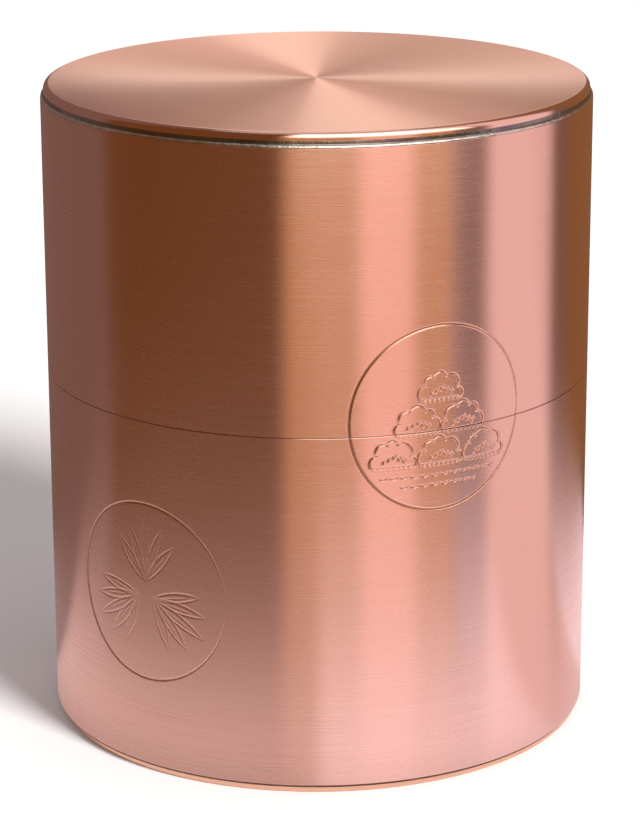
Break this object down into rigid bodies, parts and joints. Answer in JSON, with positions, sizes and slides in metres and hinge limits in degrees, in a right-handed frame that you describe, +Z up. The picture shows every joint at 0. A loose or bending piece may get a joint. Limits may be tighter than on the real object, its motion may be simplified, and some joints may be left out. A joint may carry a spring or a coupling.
{
  "type": "tea caddy",
  "caption": "Round copper tea caddy with a lift-off outer lid, a plug-in inner lid with a knob, and a tinplate liner.",
  "frame": {"origin": "on the caddy's axis, at the ring it stands on, with the lid shut", "axes": "+Z up along the axis; the soldered joints of the walls face +Y, the decorated side faces -Y"},
  "size_m": [0.08, 0.08, 0.095],
  "materials": {
    "wall_copper": "copper sheet, brushed round the walls",
    "top_copper": "copper sheet, finely turned in rings",
    "base_copper": "copper sheet, finely turned in rings",
    "knob_copper": "turned and polished copper",
    "solder": "dull tin solder, wiped and filed",
    "tinplate": "bright tinned steel sheet",
    "rivet": "hammered copper rivet"
  },
  "bodies": {
    "body": {"base_plate": "base_copper", "body_shell": "wall_copper", "body_seam_solder": "solder", "base_solder_ring": "solder", "liner_tube": "tinplate", "liner_seam_solder": "solder", "liner_bottom": "tinplate", "liner_bottom_solder": "solder"},
    "lid": {"lid_shell": "wall_copper", "lid_seam_solder": "solder", "lid_top_plate": "top_copper", "lid_top_solder": "solder", "lid_inner_solder": "solder"},
    "inner_lid": {"inner_lid_plate": "tinplate", "inner_lid_skirt": "tinplate", "inner_lid_seam_solder": "solder", "inner_lid_solder": "solder", "knob": "knob_copper", "knob_washer": "tinplate", "knob_rivet": "rivet"}
  },
  "joints": [
    {"name": "lid_lift", "type": "slide", "parent": "body", "child": "lid", "axis": [0, 0, 1], "range_m": [0, 0.09]},
    {"name": "inner_lid_lift", "type": "slide", "parent": "body", "child": "inner_lid", "axis": [0, 0, 1], "range_m": [0, 0.036]}
  ],
  "couplings": [
    {"joint": "inner_lid_lift", "follows": "lid_lift", "ratio": 0.4}
  ]
}
